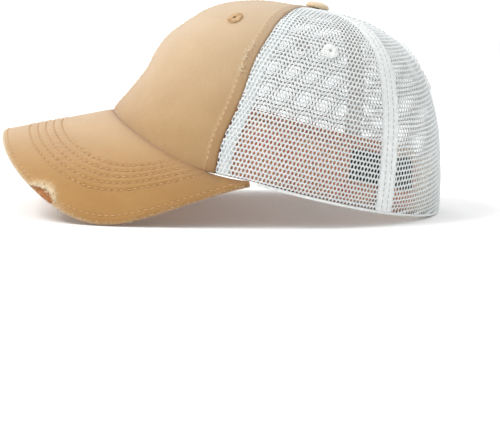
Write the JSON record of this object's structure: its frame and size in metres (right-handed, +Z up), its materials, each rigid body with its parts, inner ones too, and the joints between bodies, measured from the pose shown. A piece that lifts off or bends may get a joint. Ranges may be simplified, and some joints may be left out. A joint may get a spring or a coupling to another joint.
{
  "type": "ponytail baseball cap",
  "caption": "Ponytail baseball cap with cotton front panels, white net sides and back, a curved worn visor and a high bound opening for the hair.",
  "frame": {"origin": "bottom centre of the cap as it rests on a surface", "axes": "+Z up, -Y to the visor, +X to the wearer's left"},
  "size_m": [0.167, 0.2626, 0.1242],
  "materials": {
    "crown_cotton": "washed cotton twill",
    "net": "white polyester net",
    "cotton_stitching": "close cotton stitching",
    "white_stitching": "close white stitching",
    "seam_tape": "white woven tape",
    "button_cotton": "cotton stretched over a button",
    "binding_tape": "white folded tape",
    "visor_cotton": "washed cotton twill, worn at the edge",
    "visor_board": "stiff board",
    "visor_underside": "cotton twill",
    "sweatband_cotton": "soft brushed cotton",
    "closure_webbing": "plain webbing",
    "label_cloth": "plain woven cloth",
    "hem_tape": "folded tape"
  },
  "bodies": {
    "root": {"front_panel_left": "crown_cotton", "side_mesh_left": "net", "back_mesh_left": "net", "front_eyelet_left": "cotton_stitching", "side_eyelet_left": "white_stitching", "front_seam_tape_left": "seam_tape", "side_seam_tape_left": "seam_tape", "front_panel_right": "crown_cotton", "side_mesh_right": "net", "back_mesh_right": "net", "front_eyelet_right": "cotton_stitching", "side_eyelet_right": "white_stitching", "front_seam_tape_right": "seam_tape", "side_seam_tape_right": "seam_tape", "back_seam_tape_lower": "seam_tape", "back_seam_tape_upper": "seam_tape", "top_button": "button_cotton", "ponytail_opening_binding": "binding_tape", "visor_top": "visor_cotton", "visor_board": "visor_board", "visor_under": "visor_underside", "sweatband": "sweatband_cotton", "closure_strap": "closure_webbing", "band_label": "label_cloth", "rim_hem": "hem_tape"}
  },
  "joints": []
}
